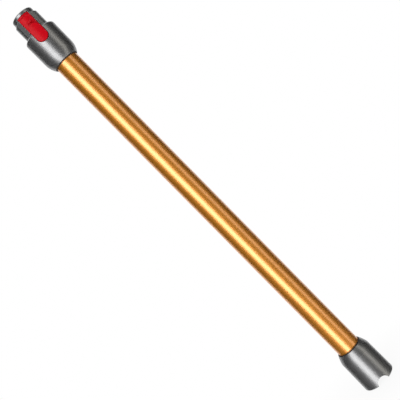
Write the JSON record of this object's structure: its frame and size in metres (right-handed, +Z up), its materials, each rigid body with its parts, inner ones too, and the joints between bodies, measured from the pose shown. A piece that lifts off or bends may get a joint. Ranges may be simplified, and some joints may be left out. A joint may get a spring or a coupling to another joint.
{
  "type": "quick-release vacuum wand",
  "caption": "Fixed-length vacuum wand: gold anodised tube between a grey socket collar and a grey spigot collar with a sprung red release button.",
  "frame": {"origin": "centre of the socket's rim, on the plane the wand stands on", "axes": "+Z up the tube towards the spigot, -Y towards the release button and the thumb notch"},
  "size_m": [0.0514, 0.0513, 0.7225],
  "materials": {
    "anodised_gold": "satin gold anodising",
    "grey_plastic": "satin metallic grey moulding",
    "red_plastic": "polished red moulding",
    "dark_plastic": "dark moulding",
    "steel": "plain steel",
    "brass": "stamped brass",
    "brown_insulation": "wire insulation",
    "blue_insulation": "wire insulation",
    "black_rubber": "moulded rubber"
  },
  "bodies": {
    "wand": {"wand_tube": "anodised_gold", "upper_collar": "grey_plastic", "lower_collar": "grey_plastic", "spigot_body": "grey_plastic", "socket_body": "grey_plastic", "button_pivot_pin": "steel", "button_spring": "steel", "upper_tube_rivets": "steel", "lower_tube_rivets": "steel", "contact_block_screws": "steel", "socket_block_screw": "steel", "cable_duct": "dark_plastic", "spigot_contact_block": "dark_plastic", "socket_contact_block": "dark_plastic", "left_fork_contact": "brass", "right_fork_contact": "brass", "left_blade_contact": "brass", "right_blade_contact": "brass", "live_wire": "brown_insulation", "return_wire": "blue_insulation", "upper_tube_gasket": "black_rubber", "lower_tube_gasket": "black_rubber", "upper_collar_ring": "black_rubber", "lower_collar_ring": "black_rubber", "socket_face_seal": "black_rubber"},
    "button": {"release_button": "red_plastic"}
  },
  "joints": [
    {"name": "release_button_press", "type": "hinge", "parent": "wand", "child": "button", "pos_m": [0, -0.0149, 0.7105], "axis": [1, 0, 0], "range_deg": [0, 6], "stiffness_Nm_per_rad": 0.6, "springref_deg": -8.59, "deforming": ["button_spring"]}
  ]
}
